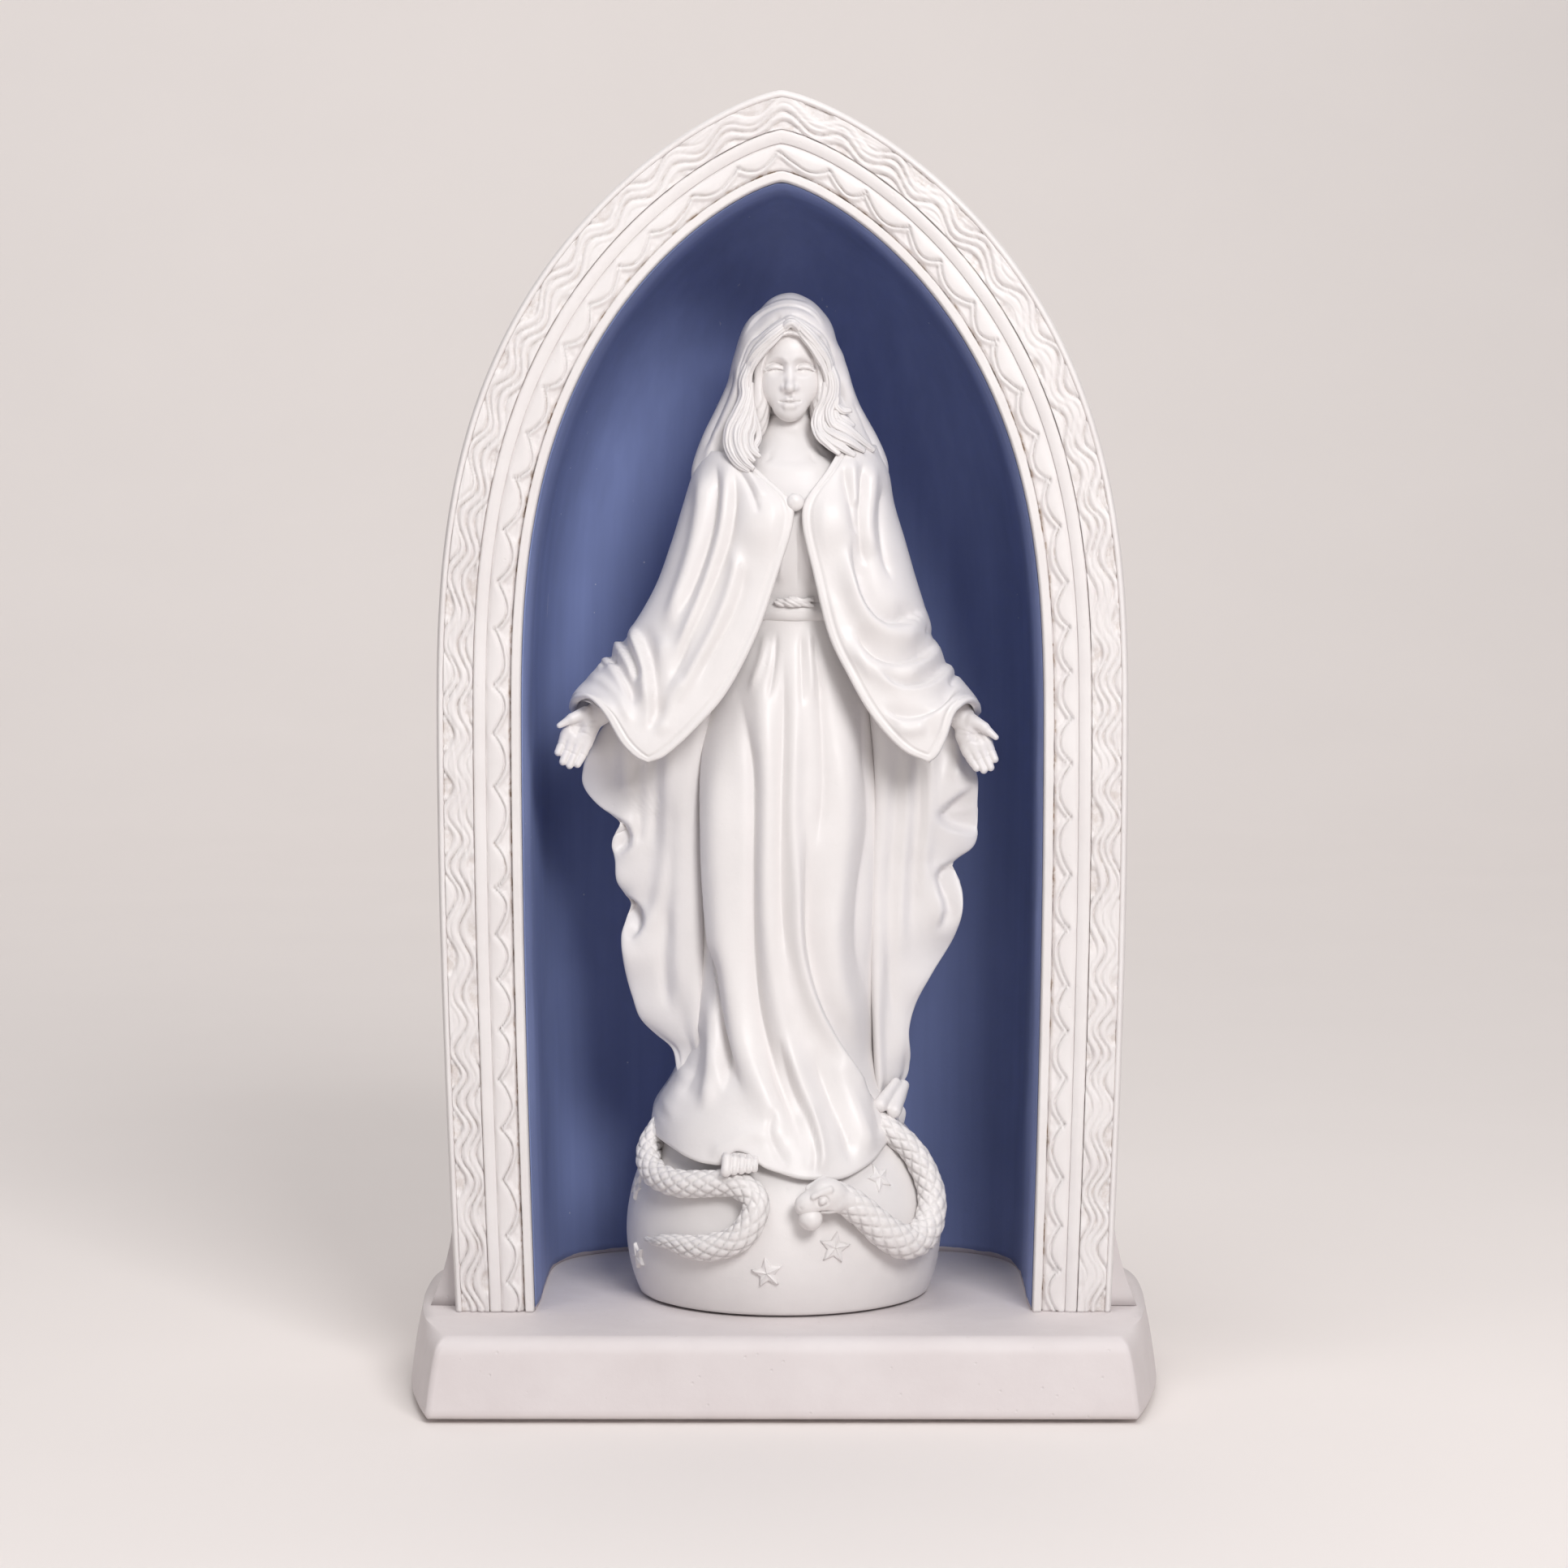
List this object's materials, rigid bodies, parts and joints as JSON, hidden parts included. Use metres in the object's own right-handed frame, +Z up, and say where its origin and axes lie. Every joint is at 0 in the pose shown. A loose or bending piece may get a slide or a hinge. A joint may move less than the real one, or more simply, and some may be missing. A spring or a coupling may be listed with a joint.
{
  "type": "niche statuette",
  "caption": "Draped standing figure with open hands on a globe with a serpent, in a pointed blue alcove with an ornamented white arch and a low plinth.",
  "frame": {"origin": "middle of the bounding box's footprint, on the ground under the pads", "axes": "+Z up, the figure looks towards -Y, +X is the viewer's right"},
  "size_m": [0.2358, 0.1499, 0.4005],
  "materials": {
    "white_plaster": "satin",
    "blue_paint": "matte",
    "felt": "matte",
    "steel_wire": "plain"
  },
  "bodies": {
    "alcove": {"plinth": "white_plaster", "floor_pad": "felt", "niche_shell": "white_plaster", "niche_lining": "blue_paint", "arch_frame": "white_plaster", "outer_rim": "white_plaster", "wave_band": "white_plaster", "middle_ridge": "white_plaster", "scalloped_band": "white_plaster", "inner_rim": "white_plaster"},
    "figurine": {"globe": "white_plaster", "star": "white_plaster", "serpent": "white_plaster", "fruit": "white_plaster", "foot": "white_plaster", "gown": "white_plaster", "sash": "white_plaster", "sash_knot": "white_plaster", "mantle": "white_plaster", "cape_left": "white_plaster", "cape_right": "white_plaster", "clasp_button": "white_plaster", "head": "white_plaster", "hair": "white_plaster", "veil": "white_plaster", "hand_left": "white_plaster", "hand_right": "white_plaster", "wrist_wire": "steel_wire"}
  },
  "joints": [
    {"name": "figurine_out", "type": "slide", "parent": "alcove", "child": "figurine", "axis": [0, -1, 0], "range_m": [0, 0.16]}
  ]
}
